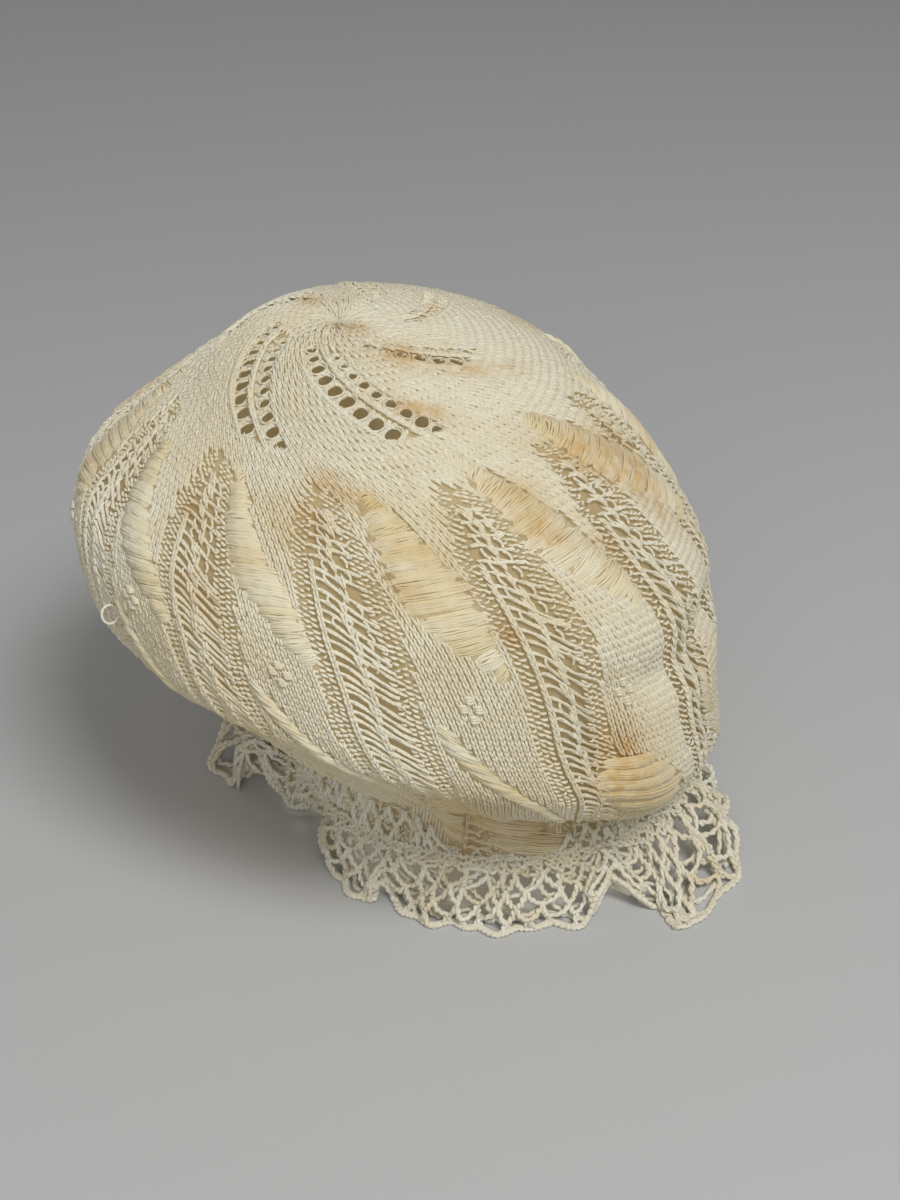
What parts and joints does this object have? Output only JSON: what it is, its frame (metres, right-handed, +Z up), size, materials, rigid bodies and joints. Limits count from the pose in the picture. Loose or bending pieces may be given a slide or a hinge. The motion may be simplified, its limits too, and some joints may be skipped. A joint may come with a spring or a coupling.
{
  "type": "knitted baby cap",
  "caption": "Round knitted baby cap with a swirled eyelet crown, openwork and float bands, and a ruffled crocheted lace frill round its opening.",
  "frame": {"origin": "the middle of the bounding box on the surface that the frill stands on", "axes": "+X to the right of the pictured view and along the longest extent, +Y away from the viewer, +Z up and along the shortest extent"},
  "size_m": [0.1447, 0.1332, 0.1186],
  "materials": {
    "knit_cotton": "aged ivory cotton knit with yellow stains",
    "lace_cotton": "ivory crocheted cotton cord"
  },
  "bodies": {
    "root": {"cap_body": "knit_cotton", "lace_frill": "lace_cotton"}
  },
  "joints": []
}
